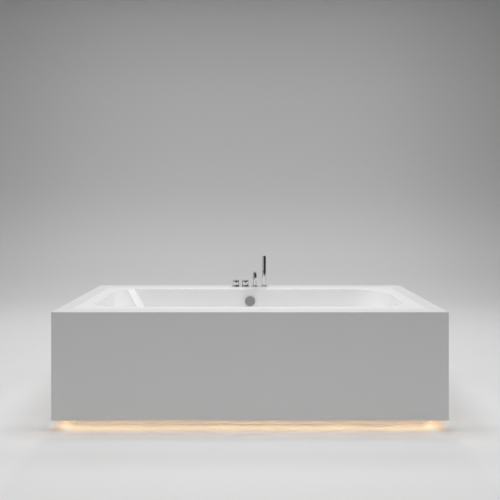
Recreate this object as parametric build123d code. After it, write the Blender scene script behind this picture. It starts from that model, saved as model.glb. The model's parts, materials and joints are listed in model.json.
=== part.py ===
from build123d import *
import math
import os

# A built-in bathtub: an acrylic shell in a panelled casing that seems to float above a lit plinth.
# Millimetres. The origin is on the floor under the tub's middle. +X runs along the tub, -Y faces the user.

# Overall size
overall_length = 2000.0
overall_width = 1000.0
rim_height = 600.0

# Casing
panel_thickness = 18.0
panel_floor_gap = 54.0
plinth_inset = 100.0
plinth_thickness = 16.0
soffit_lift = 11.0
soffit_thickness = 12.0

# Shell rim and lip
shell_thickness = 8.0
end_rim = 148.0
side_rim = 165.0
edge_radius = 3.0
lip_width = 64.0
lip_drop = 0.5
lip_planes_share = 3.0

# Basin
floor_level = 168.5
side_draft_degrees = 5.0
end_top_degrees = 8.0
end_floor_degrees = 36.0
right_corner_radius = 200.0
left_corner_radius = 80.0
corner_growth_share = 0.1
shoulder_step = 45.0
shoulder_run = 34.0
shoulder_setback = 75.0
shoulder_lean_degrees = 31.0
cove_radius = 40.0
wall_bands = 2
cove_bands = 3

# Cradle under the shell
board_end_gap = 420.0
board_side_gap = 250.0
board_thickness = 16.0
board_hole_radius = 52.0
tube_size = 32.0
tube_wall = 3.0
rail_overhang = 60.0
rail_side_inset = 20.0
leg_columns = 2
cross_columns = 4
stud_radius = 6.0
pad_radius = 25.0
pad_side_count = 12
thread_side_count = 12
pad_taper_degrees = 14.0
pad_height = 16.0
nut_across = 19.0
nut_height = 9.0

# Brackets between the panels and the soffit
bracket_width = 42.0
bracket_leg = 32.0
bracket_thickness = 3.0
bracket_end_gap = 250.0
bracket_columns = 3

# Light channel behind the lower edge of each panel
channel_width = 17.0
channel_height = 9.0
channel_wall = 1.5
diffuser_thickness = 1.6
diffuser_clearance = 0.2
strip_width = 10.0
strip_thickness = 1.2

# Light supply on the inner face of the rear plinth board
supply_length = 170.0
supply_height = 34.0
supply_depth = 30.0
supply_offset = 420.0
supply_floor_gap = 14.0
supply_lid_thickness = 3.0
gland_across = 15.0
gland_length = 14.0
gland_bore_radius = 3.2
supply_corner = 4.0

# Tap set on the rear rim
tap_margin = 48.0
tap_pitch = 62.0
shank_radius = 13.22
shank_length = 60.0
tail_radius = 10.48
tail_length = 28.0
deck_hole_clearance = 1.5
deck_nut_across = 38.0
deck_nut_height = 8.0

# Fits that the pieces share
running_clearance = 0.05
seat_gap = 0.3
cut_overrun = 2.0

# Knobs with a pin lever
flare_radius = 27.0
flare_foot = 2.0
flare_height = 12.0
knob_radius = 22.0
knob_top = 41.0
knob_edge = 1.6
lever_radius = 3.8
lever_height = 25.0
lever_reach = 21.0
lever_depth = 6.0
lever_edge = 1.2
spindle_top = 32.0

# Spout and its diverter
spout_radius = 12.5
spout_arc_degrees = 132.0
spout_top = 99.0
plate_radius = 24.0
plate_height = 6.0
spout_mouth_edge = 0.8
aerator_radius = 10.8
aerator_length = 9.0
aerator_recess = 1.5
aerator_screen_radius = 8.5
diverter_offset = 18.3
diverter_boss_radius = 5.0
diverter_boss_height = 8.0
diverter_rod_radius = 2.5
diverter_rod_depth = 12.0
diverter_knob_radius = 5.0
diverter_knob_height = 12.0
diverter_knob_edge = 1.0
diverter_knob_lift = 20.0

# Hand shower and its socket
handset_radius = 12.5
handset_top = 202.0
handset_edge = 1.5
handset_tail_length = 30.0
socket_radius = 23.0
socket_height = 7.0
socket_bore_radius = 10.0
spray_length = 62.0
spray_width = 10.0
spray_thickness = 1.8
spray_seat = 3.0
spray_top_margin = 14.0
spray_clearance = 0.2

# Overflow with its turning knob
overflow_drop = 77.0
overflow_knob_radius = 32.0
overflow_knob_thickness = 10.0
overflow_knob_gap = 6.0
overflow_knob_edge = 1.5
overflow_stem_radius = 6.0
overflow_stem_length = 19.0
overflow_hole_radius = 24.0
overflow_sleeve_radius = 22.0
overflow_bore_radius = 19.0
overflow_face_radius = 29.0
overflow_face_thickness = 3.0
overflow_bar_width = 18.0
overflow_body_radius = 33.0
overflow_body_depth = 34.0
overflow_body_wall = 3.0
seal_thickness = 3.0
pipe_radius = 13.0
pipe_bend = 32.0
pipe_seat = 12.0

# Waste, plug and trap
waste_hole_radius = 27.0
waste_flange_radius = 36.0
waste_flange_thickness = 3.0
waste_sleeve_radius = 24.0
waste_sleeve_depth = 30.0
waste_bore_radius = 20.0
waste_bar_width = 14.0
waste_bar_height = 5.0
waste_body_radius = 38.0
waste_body_height = 46.0
waste_body_wall = 3.0
spigot_radius = 20.0
spigot_length = 28.0
plug_radius = 33.0
plug_thickness = 7.0
plug_edge = 2.5
plug_stem_radius = 4.0
plug_stem_length = 46.0
trap_radius = 40.0
trap_height = 64.0
trap_floor_gap = 14.0
socket_wall = 6.0
union_nut_across = 72.0
union_nut_height = 16.0
union_nut_ribs = 10
outlet_level = 48.0
outlet_collar_radius = 24.0
outlet_collar_reach = 42.0
outlet_length = 32.0

# Places that follow from the sizes above
half_length = overall_length / 2
half_width = overall_width / 2
wall_top_half_length = half_length - end_rim
wall_top_half_width = half_width - side_rim
plate_bottom = rim_height - shell_thickness
wall_top = rim_height - lip_drop
basin_depth = wall_top - floor_level
shoulder_start = wall_top_half_length - shoulder_setback
shell_bottom = floor_level - shell_thickness
board_bottom = shell_bottom - board_thickness
cross_bottom = board_bottom - tube_size
rail_bottom = cross_bottom - tube_size
soffit_bottom = panel_floor_gap + soffit_lift
soffit_top = soffit_bottom + soffit_thickness
soffit_width = plinth_inset + plinth_thickness - panel_thickness
channel_bottom = soffit_bottom - channel_height
board_length = overall_length - 2 * board_end_gap
board_width = overall_width - 2 * board_side_gap
rail_length = board_length + 2 * rail_overhang
rail_spread = board_width - 2 * rail_side_inset
bracket_spread = overall_length - 2 * bracket_end_gap
tap_line = half_width - tap_margin
waste_body_top = shell_bottom - seal_thickness
waste_body_bottom = waste_body_top - waste_body_height
pipe_level = cross_bottom + tube_size / 2
trap_top = trap_floor_gap + trap_height
hot_x = -1.5 * tap_pitch
cold_x = -0.5 * tap_pitch
spout_x = 0.5 * tap_pitch
handset_x = 1.5 * tap_pitch
tap_places = [hot_x, cold_x, spout_x, handset_x]
draft = math.radians(side_draft_degrees)
sides = ["front", "rear", "left", "right"]

parts = {}


# Shared shapes

def block(x_range, y_range, z_range):
    size = [high - low for low, high in (x_range, y_range, z_range)]
    middle = [(high + low) / 2 for low, high in (x_range, y_range, z_range)]
    return Pos(*middle) * Box(*size)


def rod(radius, z_low, z_high, x=0, y=0):
    return Pos(x, y, (z_low + z_high) / 2) * Cylinder(radius, z_high - z_low)


def ring(outer, inner, z_low, z_high, x=0, y=0):
    return rod(outer, z_low, z_high, x, y) - rod(inner, z_low - cut_overrun, z_high + cut_overrun, x, y)


def prism(sides, across, z_low, z_high):
    """An upright bar with flat sides, measured across its flats."""
    return Pos(0, 0, z_low) * extrude(RegularPolygon(across / 2, sides, major_radius=False), z_high - z_low)


def nut(across, bore, z_low, z_high):
    """A six-sided nut. Its bore has few flats, because nuts repeat and threads are left out."""
    hole = prism(thread_side_count, 2 * bore, z_low - cut_overrun, z_high + cut_overrun)
    return prism(6, across, z_low, z_high) - hole


def edged_disc(radius, z_low, z_high, edge):
    """A disc whose upper edge is bevelled."""
    disc = rod(radius, z_low, z_high)
    return chamfer(disc.faces().sort_by(Axis.Z)[-1].edges(), edge)


def spread(length, count):
    """Evenly spaced places along X, centred on zero."""
    return [length * (column / (count - 1) - 0.5) for column in range(count)]


def group(shapes):
    return Compound(children=[solid for shape in shapes for solid in shape.solids()])


def mitred_board(side, inset, width, z_low, z_high):
    """One side of a frame with mitred corners, its outer edge set in from the casing's outer face."""
    x, y = half_length - inset, half_width - inset
    if side in ("front", "rear"):
        points = [(-x, -y), (x, -y), (x - width, width - y), (width - x, width - y)]
    else:
        points = [(-x, -y), (width - x, width - y), (width - x, y - width), (-x, y)]
    outline = make_face(Polyline(*[(px, py, z_low) for px, py in points], close=True))
    board = extrude(outline, z_high - z_low, dir=(0, 0, 1))
    if side == "rear":
        board = mirror(board, Plane.XZ)
    if side == "right":
        board = mirror(board, Plane.YZ)
    return board


# The shell: a mitred rim, a lip that falls slightly inwards, and a basin whose left end is narrower

def basin_sizes(depth, grow):
    """Half width, half length and where the left shoulder starts, at one depth below the lip."""
    top_slope = math.tan(math.radians(end_top_degrees))
    floor_slope = math.tan(math.radians(end_floor_degrees))
    end_inset = depth * top_slope + depth**2 / (2 * basin_depth) * (floor_slope - top_slope)
    wide = wall_top_half_width - depth * math.tan(draft) + grow
    end = wall_top_half_length - end_inset + grow
    lean = math.tan(math.radians(shoulder_lean_degrees))
    return wide, end, depth * lean - shoulder_start


def left_radius(depth, grow):
    return left_corner_radius + depth * corner_growth_share + grow


def corner(x, y, radius, toward_x, toward_y):
    """A quarter circle about (x, y), from its end along X to its end along Y."""
    bulge = radius * math.sqrt(0.5)
    return ThreePointArc(
        (x + toward_x * radius, y), (x + toward_x * bulge, y + toward_y * bulge), (x, y + toward_y * radius)
    )


def rounded_end(toward_x, end, blunt, width, radius):
    """A level of a basin with two round corners at one end and a blunt other end at x = blunt."""
    x = end - toward_x * radius
    y = width - radius
    return Wire([
        Line((end, -y), (end, y)),
        corner(x, y, radius, toward_x, 1),
        Line((x, width), (blunt, width)),
        Line((blunt, width), (blunt, -width)),
        Line((blunt, -width), (x, -width)),
        corner(x, -y, radius, toward_x, -1),
    ])


def stepped_level(depth, grow):
    """A whole level of the basin, with large right corners and the shoulders of the narrower left end."""
    wide, end, shoulder_x = basin_sizes(depth, grow)
    narrow = wide - shoulder_step
    shoulder_x -= grow * math.tan(math.atan2(shoulder_step, shoulder_run) / 2)
    shoulder_end = shoulder_x + shoulder_run
    right = right_corner_radius + grow
    left = left_radius(depth, grow)
    return Wire([
        Line((end, right - wide), (end, wide - right)),
        corner(end - right, wide - right, right, 1, 1),
        Line((end - right, wide), (shoulder_end, wide)),
        Line((shoulder_end, wide), (shoulder_x, narrow)),
        Line((shoulder_x, narrow), (left - end, narrow)),
        corner(left - end, narrow - left, left, -1, 1),
        Line((-end, narrow - left), (-end, left - narrow)),
        corner(left - end, left - narrow, left, -1, -1),
        Line((left - end, -narrow), (shoulder_x, -narrow)),
        Line((shoulder_x, -narrow), (shoulder_end, -wide)),
        Line((shoulder_end, -wide), (end - right, -wide)),
        corner(end - right, right - wide, right, 1, -1),
    ])


def at_depth(wire, depth):
    return Pos(0, 0, wall_top - depth) * make_face(wire)


def basin_walls(grow, first_depth):
    """The wide basin, cut off by the leaning shoulders, joined to the narrower left end."""
    last_depth = basin_depth - cove_radius
    wide_levels, narrow_levels, shoulder_levels = [], [], []
    for band in range(wall_bands + 1):
        depth = first_depth + (last_depth - first_depth) * band / wall_bands
        wide, end, shoulder_x = basin_sizes(depth, grow)
        narrow = wide - shoulder_step
        wide_end = rounded_end(1, end, -wall_top_half_length, wide, right_corner_radius + grow)
        narrow_end = rounded_end(-1, -end, 0, narrow, left_radius(depth, grow))
        wide_levels.append(at_depth(wide_end, depth))
        narrow_levels.append(at_depth(narrow_end, depth))
    for depth in (first_depth, last_depth):
        wide, end, shoulder_x = basin_sizes(depth, grow)
        shoulder_x -= grow * math.tan(math.atan2(shoulder_step, shoulder_run) / 2)
        near = wide - 2 * shoulder_step
        far = wide + shoulder_step
        right = [(shoulder_x - shoulder_run, near), (shoulder_x + 2 * shoulder_run, far), (half_length, far)]
        points = right + [(x, -y) for x, y in reversed(right)]
        shoulder_levels.append(at_depth(Wire(Polyline(*points, close=True).edges()), depth))
    return (loft(wide_levels) & loft(shoulder_levels, ruled=True)) + loft(narrow_levels)


def basin_cove(grow):
    """The rounding between the walls and the floor."""
    radius = cove_radius + grow
    levels = []
    for band in range(cove_bands + 1):
        turn = math.pi / 2 * band / cove_bands
        depth = basin_depth - cove_radius + radius * math.sin(turn)
        inset = radius * (1 - math.cos(turn))
        levels.append(at_depth(stepped_level(depth, grow - inset), depth))
    return loft(levels, ruled=True)


def wall_place(shape):
    """Stand a shape on the rear wall's inner face at the overflow, its Z axis pointing into the basin."""
    depth = overflow_drop - lip_drop
    y = wall_top_half_width - depth * math.tan(draft)
    into_basin = (0, -math.cos(draft), math.sin(draft))
    wall = Plane(origin=(0, y, wall_top - depth), x_dir=(1, 0, 0), z_dir=into_basin)
    return wall.location * shape


def level_rectangle(half_x, half_y, z):
    return (Pos(0, 0, z) * Rectangle(2 * half_x, 2 * half_y)).face()


def lip_planes():
    """What the four planes of the lip take away. They run on past the opening's edge, below its corners."""
    half_x = wall_top_half_length + edge_radius + lip_width
    half_y = wall_top_half_width + edge_radius + lip_width
    inset = lip_planes_share * lip_width
    low = level_rectangle(half_x - inset, half_y - inset, rim_height - lip_planes_share * lip_drop)
    return loft([low, level_rectangle(half_x, half_y, rim_height)], ruled=True)


def rim_slab():
    """The rim's flat sheet, mitred at the outer edge to meet the panels."""
    under = level_rectangle(half_length - shell_thickness, half_width - shell_thickness, plate_bottom)
    return loft([under, level_rectangle(half_length, half_width, rim_height)], ruled=True)


def make_shell():
    outside = rim_slab() + basin_walls(shell_thickness, shell_thickness - lip_drop)
    outside += basin_cove(shell_thickness)
    chord = edge_radius * (1 - math.sqrt(0.5))
    rounding = [(edge_radius, 0), (chord, chord), (0, edge_radius)]
    levels = [at_depth(stepped_level(0, grow), depth) for grow, depth in rounding]
    opening = loft(levels[:2], ruled=True) + loft(levels[1:], ruled=True)
    shell = outside - (lip_planes() + opening + basin_walls(0, edge_radius) + basin_cove(0))
    deck_hole = shank_radius + deck_hole_clearance
    for x in tap_places:
        shell -= rod(deck_hole, plate_bottom - cut_overrun, rim_height + cut_overrun, x, tap_line)
    shell -= wall_place(Cylinder(overflow_hole_radius, 4 * shell_thickness))
    return shell - rod(waste_hole_radius, shell_bottom - cut_overrun, floor_level + cut_overrun)


parts["tub_shell"] = make_shell()


# The casing: four panels mitred to each other and to the rim, on a set-back plinth and its soffit

for side in sides:
    parts[f"{side}_panel"] = mitred_board(side, 0, panel_thickness, panel_floor_gap, rim_height) - rim_slab()
    parts[f"{side}_plinth_board"] = mitred_board(side, plinth_inset, plinth_thickness, 0, soffit_bottom)
    parts[f"{side}_soffit"] = mitred_board(side, panel_thickness, soffit_width, soffit_bottom, soffit_top)


def bracket():
    """An angle bracket at the origin, one leg flat on the soffit and one against a panel at y = 0."""
    thick, leg = bracket_thickness, bracket_leg
    points = [(0, 0), (leg, 0), (leg, thick), (thick, thick), (thick, leg), (0, leg)]
    profile = make_face(Polyline(*[(-bracket_width / 2, y, z) for y, z in points], close=True))
    return extrude(profile, bracket_width, dir=(1, 0, 0))


def bracket_spots():
    y = half_width - panel_thickness
    x = half_length - panel_thickness
    spots = [Pos(-x, 0, soffit_top) * Rot(0, 0, -90), Pos(x, 0, soffit_top) * Rot(0, 0, 90)]
    for place in spread(bracket_spread, bracket_columns):
        spots += [Pos(place, -y, soffit_top), Pos(place, y, soffit_top) * Rot(0, 0, 180)]
    return spots


parts["panel_brackets"] = group([spot * bracket() for spot in bracket_spots()])


# The light under each panel: an aluminium channel, a strip of lamps and a diffuser

strips = []
for side in sides:
    outer = mitred_board(side, panel_thickness, channel_width, channel_bottom, soffit_bottom)
    groove_width = channel_width - 2 * channel_wall
    groove_top = soffit_bottom - channel_wall
    groove_inset = panel_thickness + channel_wall
    groove = mitred_board(side, groove_inset, groove_width, channel_bottom, groove_top)
    parts[f"{side}_light_channel"] = outer - groove
    parts[f"{side}_diffuser"] = mitred_board(
        side, groove_inset + diffuser_clearance, groove_width - 2 * diffuser_clearance,
        channel_bottom, channel_bottom + diffuser_thickness,
    )
    strip_inset = groove_inset + (groove_width - strip_width) / 2
    strips.append(mitred_board(side, strip_inset, strip_width, groove_top - strip_thickness, groove_top))
parts["light_strips"] = group(strips)

supply_face = half_width - plinth_inset - plinth_thickness
supply_x = (supply_offset, supply_offset + supply_length)
supply_z = (supply_floor_gap, supply_floor_gap + supply_height)
supply_front = supply_face - supply_depth


def supply_slice(y_range):
    """A slice of the supply's case, with its long corners rounded."""
    slice_block = block(supply_x, y_range, supply_z)
    return fillet(slice_block.edges().filter_by(Axis.Y), supply_corner)


parts["light_supply"] = supply_slice((supply_front, supply_face))
parts["light_supply_lid"] = supply_slice((supply_front - supply_lid_thickness, supply_front))
gland = prism(6, gland_across, 0, gland_length)
gland -= rod(gland_bore_radius, -cut_overrun, gland_length + cut_overrun)
gland_place = Pos(supply_offset, supply_face - supply_depth / 2, supply_floor_gap + supply_height / 2)
parts["light_supply_gland"] = gland_place * Rot(0, -90, 0) * gland


# The cradle: a board bonded under the shell, on two rails with cross members and levelling legs

board = block(
    (-board_length / 2, board_length / 2), (-board_width / 2, board_width / 2), (board_bottom, shell_bottom)
)
parts["base_board"] = board - rod(board_hole_radius, board_bottom - cut_overrun, shell_bottom + cut_overrun)


def square_tube(length):
    """A tube along X, standing on z = 0."""
    outer = block((-length / 2, length / 2), (-tube_size / 2, tube_size / 2), (0, tube_size))
    inner_half = tube_size / 2 - tube_wall
    reach = length / 2 + cut_overrun
    return outer - block((-reach, reach), (-inner_half, inner_half), (tube_wall, tube_size - tube_wall))


rail = Pos(0, 0, rail_bottom) * square_tube(rail_length)
rail_places = spread(rail_spread, 2)
cross = Pos(0, 0, cross_bottom) * Rot(0, 0, 90) * square_tube(rail_spread + tube_size)
feet = [Pos(x, y, 0) for x in spread(board_length, leg_columns) for y in rail_places]
parts["cradle_rails"] = group([Pos(0, y, 0) * rail for y in rail_places])
parts["cross_members"] = group([Pos(x, 0, 0) * cross for x in spread(board_length, cross_columns)])

pad_outline = RegularPolygon(pad_radius, pad_side_count, major_radius=False)
pad = extrude(pad_outline, pad_height, taper=pad_taper_degrees)
stud = prism(thread_side_count, 2 * stud_radius, pad_height, rail_bottom)
lock_nut = nut(nut_across, stud_radius + running_clearance, rail_bottom - nut_height, rail_bottom)
parts["leg_pads"] = group([foot * pad for foot in feet])
parts["leg_studs"] = group([foot * stud for foot in feet])
parts["leg_nuts"] = group([foot * lock_nut for foot in feet])


# The taps, each modelled at the origin with z = 0 on the rim, then set in its hole

def on_deck(x, shape):
    return Pos(x, tap_line, rim_height) * shape


def valve():
    """A flared foot on the rim, the spindle that the knob turns on, and a shank for nut and supply."""
    flare = Cone(flare_radius, knob_radius, flare_height - flare_foot)
    flare = Pos(0, 0, (flare_foot + flare_height) / 2) * flare
    tail = rod(tail_radius, -shank_length - tail_length, -shank_length)
    return rod(flare_radius, 0, flare_foot) + flare + rod(shank_radius, -shank_length, spindle_top) + tail


def along_front(shape):
    """Turn an upright shape so that it points at the user, at the lever's height."""
    return Pos(0, 0, lever_height) * Rot(90, 0, 0) * shape


def knob():
    body = edged_disc(knob_radius, flare_height + seat_gap, knob_top, knob_edge)
    body -= rod(shank_radius + running_clearance, 0, spindle_top + seat_gap)
    lever_bore = lever_radius + running_clearance
    return body - along_front(rod(lever_bore, knob_radius - lever_depth, knob_radius + cut_overrun))


def lever():
    pin = edged_disc(lever_radius, knob_radius - lever_depth, knob_radius + lever_reach, lever_edge)
    return along_front(pin)


for name, x in (("hot", hot_x), ("cold", cold_x)):
    parts[f"{name}_valve"] = on_deck(x, valve())
    parts[f"{name}_knob"] = on_deck(x, knob())
    parts[f"{name}_lever"] = on_deck(x, lever())

deck_nut_low = -shell_thickness - deck_nut_height
deck_nut = nut(deck_nut_across, shank_radius + running_clearance, deck_nut_low, -shell_thickness)
parts["deck_nuts"] = group([on_deck(x, deck_nut) for x in tap_places])


# The spout: a tube that rises from its plate and falls towards the basin in one arc

def spout_path():
    """One arc in the YZ plane, upright where it leaves the plate."""
    radius = spout_top - spout_radius - plate_height

    def on_arc(degrees):
        turn = math.radians(degrees)
        return (0, radius * (math.cos(turn) - 1), plate_height + radius * math.sin(turn))

    return Wire([ThreePointArc(on_arc(0), on_arc(spout_arc_degrees / 2), on_arc(spout_arc_degrees))])


path = spout_path()
tube = sweep(Plane(origin=path @ 0, z_dir=path % 0) * Circle(spout_radius), path)
mouth = Plane(origin=path @ 1, x_dir=(1, 0, 0), z_dir=path % 1)
mouth_edge = tube.faces().sort_by(lambda face: (face.center() - path @ 1).length)[0].outer_wire().edges()
tube = chamfer(mouth_edge, spout_mouth_edge)
tube -= mouth.location * rod(aerator_radius + running_clearance, -aerator_length, cut_overrun)
parts["spout"] = on_deck(spout_x, tube)
aerator = rod(aerator_radius, -aerator_length, -seat_gap)
aerator -= rod(aerator_screen_radius, -aerator_recess, cut_overrun)
parts["spout_outlet"] = on_deck(spout_x, mouth.location * aerator)

boss_top = plate_height + diverter_boss_height
rod_low = boss_top - diverter_rod_depth
rod_bore = diverter_rod_radius + running_clearance
plate = rod(plate_radius, 0, plate_height) + rod(shank_radius, -shank_length, 0)
plate += rod(diverter_boss_radius, plate_height, boss_top, 0, diverter_offset)
plate -= rod(rod_bore, rod_low - seat_gap, boss_top + cut_overrun, 0, diverter_offset)
parts["spout_plate"] = on_deck(spout_x, plate)

pull_low = boss_top + diverter_knob_lift
pull = edged_disc(diverter_knob_radius, pull_low, pull_low + diverter_knob_height, diverter_knob_edge)
pull += rod(diverter_rod_radius, rod_low, pull_low)
parts["diverter_knob"] = on_deck(spout_x, Pos(0, diverter_offset, 0) * pull)


# The hand shower stands in a socket. Its spray plate is let into the side away from the user

rest = socket_height + seat_gap
handset = edged_disc(handset_radius, rest, handset_top, handset_edge)
handset += rod(socket_bore_radius - running_clearance, rest - handset_tail_length, rest)
spray_high = handset_top - spray_top_margin
spray_low = spray_high - spray_length
spray_face = handset_radius - spray_seat


def spray_block(clearance, thickness):
    """A plate let into the side of the hand shower that faces away from the user, or its pocket."""
    reach = spray_width / 2 + clearance
    height = (spray_low - clearance, spray_high + clearance)
    return block((-reach, reach), (spray_face, spray_face + thickness), height)


parts["hand_shower"] = on_deck(handset_x, handset - spray_block(spray_clearance, handset_radius))
parts["spray_plate"] = on_deck(handset_x, spray_block(0, spray_thickness))

socket = rod(socket_radius, 0, socket_height) + rod(shank_radius, -shank_length, 0)
socket -= rod(socket_bore_radius, -shank_length - cut_overrun, socket_height + cut_overrun)
parts["shower_socket"] = on_deck(handset_x, socket)


# The overflow: a flange and a turning knob inside, a body and a pipe outside

def flange(radii, face_thickness, sleeve_length, bar_width, bar_range, stem_radius):
    """A flange at z = 0 with a sleeve below it, and a bar across its bore that guides a stem."""
    face_radius, sleeve_radius, bore_radius = radii
    body = rod(face_radius, 0, face_thickness) + rod(sleeve_radius, -sleeve_length, 0)
    body -= rod(bore_radius, -sleeve_length - cut_overrun, face_thickness + cut_overrun)
    reach = bore_radius + seat_gap
    body += block((-reach, reach), (-bar_width / 2, bar_width / 2), bar_range)
    return body - rod(stem_radius + running_clearance, -sleeve_length - cut_overrun, cut_overrun)


seal_low = -shell_thickness - seal_thickness
overflow_radii = (overflow_face_radius, overflow_sleeve_radius, overflow_bore_radius)
parts["overflow_flange"] = wall_place(flange(
    overflow_radii, overflow_face_thickness, overflow_body_wall - seal_low,
    overflow_bar_width, (-shell_thickness, 0), overflow_stem_radius,
))

knob_low = overflow_face_thickness + overflow_knob_gap
knob_high = knob_low + overflow_knob_thickness
dial = edged_disc(overflow_knob_radius, knob_low, knob_high, overflow_knob_edge)
dial += rod(overflow_stem_radius, knob_low - overflow_stem_length, knob_low)
parts["overflow_knob"] = wall_place(dial)

sleeve_bore = overflow_sleeve_radius + running_clearance
parts["overflow_seal"] = wall_place(ring(overflow_body_radius, sleeve_bore, seal_low, -shell_thickness))

body_low = seal_low - overflow_body_depth
body = rod(overflow_body_radius, body_low, seal_low)
body = wall_place(body - rod(sleeve_bore, body_low + overflow_body_wall, seal_low + cut_overrun))
body_middle = wall_place(Pos(0, 0, (body_low + seal_low) / 2) * Vertex(0, 0, 0)).center()
pipe_top = body_middle.Z - overflow_body_radius + pipe_seat
pipe_bore = pipe_radius + running_clearance
socket_low = pipe_top - overflow_body_radius
parts["overflow_body"] = body - rod(pipe_bore, socket_low, pipe_top, 0, body_middle.Y)

pipe_points = [
    (0, body_middle.Y, pipe_top - seat_gap),
    (0, body_middle.Y, pipe_level),
    (0, waste_body_radius - pipe_seat, pipe_level),
]
pipe_line = FilletPolyline(*pipe_points, radius=pipe_bend)
pipe_start = Plane(origin=pipe_points[0], z_dir=(0, 0, -1))
parts["overflow_pipe"] = sweep(pipe_start * Circle(pipe_radius), pipe_line)


# The waste: a flange in the basin floor, a lifting plug, and a body that also takes the overflow

waste_radii = (waste_flange_radius, waste_sleeve_radius, waste_bore_radius)
bar_range = (-waste_sleeve_depth, waste_bar_height - waste_sleeve_depth)
parts["waste_flange"] = Pos(0, 0, floor_level) * flange(
    waste_radii, waste_flange_thickness, waste_sleeve_depth, waste_bar_width, bar_range, plug_stem_radius
)

plug_low = floor_level + waste_flange_thickness + seat_gap
plug = edged_disc(plug_radius, plug_low, plug_low + plug_thickness, plug_edge)
parts["waste_plug"] = plug + rod(plug_stem_radius, plug_low - plug_stem_length, plug_low)

sleeve_fit = waste_sleeve_radius + running_clearance
parts["waste_seal"] = ring(waste_body_radius, sleeve_fit, waste_body_top, shell_bottom)

cup_floor = waste_body_bottom + waste_body_wall
spigot_bottom = waste_body_bottom - spigot_length
waste_body = rod(waste_body_radius, waste_body_bottom, waste_body_top)
waste_body += rod(spigot_radius, spigot_bottom, waste_body_bottom)
waste_body -= rod(sleeve_fit, cup_floor, waste_body_top + cut_overrun)
waste_body -= rod(spigot_radius - waste_body_wall, spigot_bottom - cut_overrun, cup_floor + cut_overrun)
port = Pos(0, 0, pipe_level) * Rot(-90, 0, 0)
parts["waste_body"] = waste_body - port * rod(pipe_bore, 0, waste_body_radius + cut_overrun)

neck_bore = spigot_radius + running_clearance
neck_radius = neck_bore + socket_wall
neck_top = waste_body_bottom - seat_gap
nut_top = trap_top + union_nut_height
outlet = Pos(0, 0, outlet_level) * Rot(-90, 0, 0)
trap = rod(trap_radius, trap_floor_gap, trap_top) + rod(neck_radius, trap_top, neck_top)
trap -= rod(neck_bore, trap_top, neck_top + cut_overrun)
trap += outlet * rod(outlet_collar_radius, 0, outlet_collar_reach)
parts["trap"] = trap + outlet * rod(spigot_radius, 0, outlet_collar_reach + outlet_length)
union_nut = prism(union_nut_ribs, union_nut_across, trap_top, nut_top)
union_nut -= rod(neck_radius + running_clearance, trap_top - cut_overrun, nut_top + cut_overrun)
parts["trap_nut"] = union_nut


os.makedirs("parts", exist_ok=True)
for name, shape in parts.items():
    export_step(shape, f"parts/{name}.step")
print(f"{len(parts)} pieces written")
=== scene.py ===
import json
import math

import bpy
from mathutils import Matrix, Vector


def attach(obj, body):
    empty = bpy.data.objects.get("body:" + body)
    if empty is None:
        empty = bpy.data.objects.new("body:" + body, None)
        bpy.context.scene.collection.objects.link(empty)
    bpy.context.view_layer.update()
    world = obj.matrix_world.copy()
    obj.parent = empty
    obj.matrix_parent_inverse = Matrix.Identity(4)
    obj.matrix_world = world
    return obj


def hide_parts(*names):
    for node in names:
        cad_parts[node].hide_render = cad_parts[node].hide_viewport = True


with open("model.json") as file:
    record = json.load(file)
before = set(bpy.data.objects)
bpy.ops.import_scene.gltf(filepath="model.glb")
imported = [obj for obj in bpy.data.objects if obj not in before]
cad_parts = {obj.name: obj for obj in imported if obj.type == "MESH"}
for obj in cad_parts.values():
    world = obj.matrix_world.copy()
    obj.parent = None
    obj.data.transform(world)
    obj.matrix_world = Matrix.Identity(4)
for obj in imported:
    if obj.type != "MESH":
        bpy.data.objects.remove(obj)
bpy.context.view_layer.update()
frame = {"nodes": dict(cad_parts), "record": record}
nodes = frame["nodes"]
bpy.ops.object.select_all(action="DESELECT")

# The photograph's camera: level, looking along +Y, with the picture shifted down
camera_place = (0, -3.512, 1.143)
focal_length_mm = 43.13
picture_shift = -0.0914
farthest_seen = 60

camera = bpy.data.objects.new("camera", bpy.data.cameras.new("camera"))
bpy.context.collection.objects.link(camera)
camera.location = camera_place
camera.rotation_euler = (math.radians(90), 0, 0)
camera.data.lens = focal_length_mm
camera.data.shift_y = picture_shift
camera.data.clip_end = farthest_seen
bpy.context.scene.camera = camera
bpy.context.scene.view_settings.view_transform = "Standard"

# Places shared with the CAD source, in metres
rim = 0.6
tap_line = 0.452
hot_x = -0.093
cold_x = -0.031
spout_x = 0.031
handset_x = 0.093
overflow_place = (0, 0.32831, 0.523)
overflow_tilt_degrees = 85
basin_floor = 0.1685
deck_thread_top = 0.5915
leg_thread_top = 0.08


# Node helpers

def add(tree, kind, label, **settings):
    """A node of that kind. Settings name its own properties, or its input sockets."""
    node = tree.nodes.new(kind)
    node.label = label
    for key, value in settings.items():
        if hasattr(node, key):
            setattr(node, key, value)
        else:
            node.inputs[key.replace("_", " ")].default_value = value
    return node


def new_surface(name, shader_label, **settings):
    """A material of one shader: gives the material, its node tree and the shader."""
    material = bpy.data.materials.new(name)
    material.use_nodes = True
    tree = material.node_tree
    tree.nodes.clear()
    out = add(tree, "ShaderNodeOutputMaterial", "surface")
    shader = add(tree, "ShaderNodeBsdfPrincipled", shader_label, **settings)
    tree.links.new(shader.outputs["BSDF"], out.inputs["Surface"])
    return material, tree, shader


def maths(tree, operation, label, *values):
    """A Math node. Each value is a number, or an output that is linked in."""
    node = add(tree, "ShaderNodeMath", label, operation=operation)
    for socket, value in zip(node.inputs, values):
        if isinstance(value, (int, float)):
            socket.default_value = value
        else:
            tree.links.new(value, socket)
    return node.outputs[0]


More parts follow.
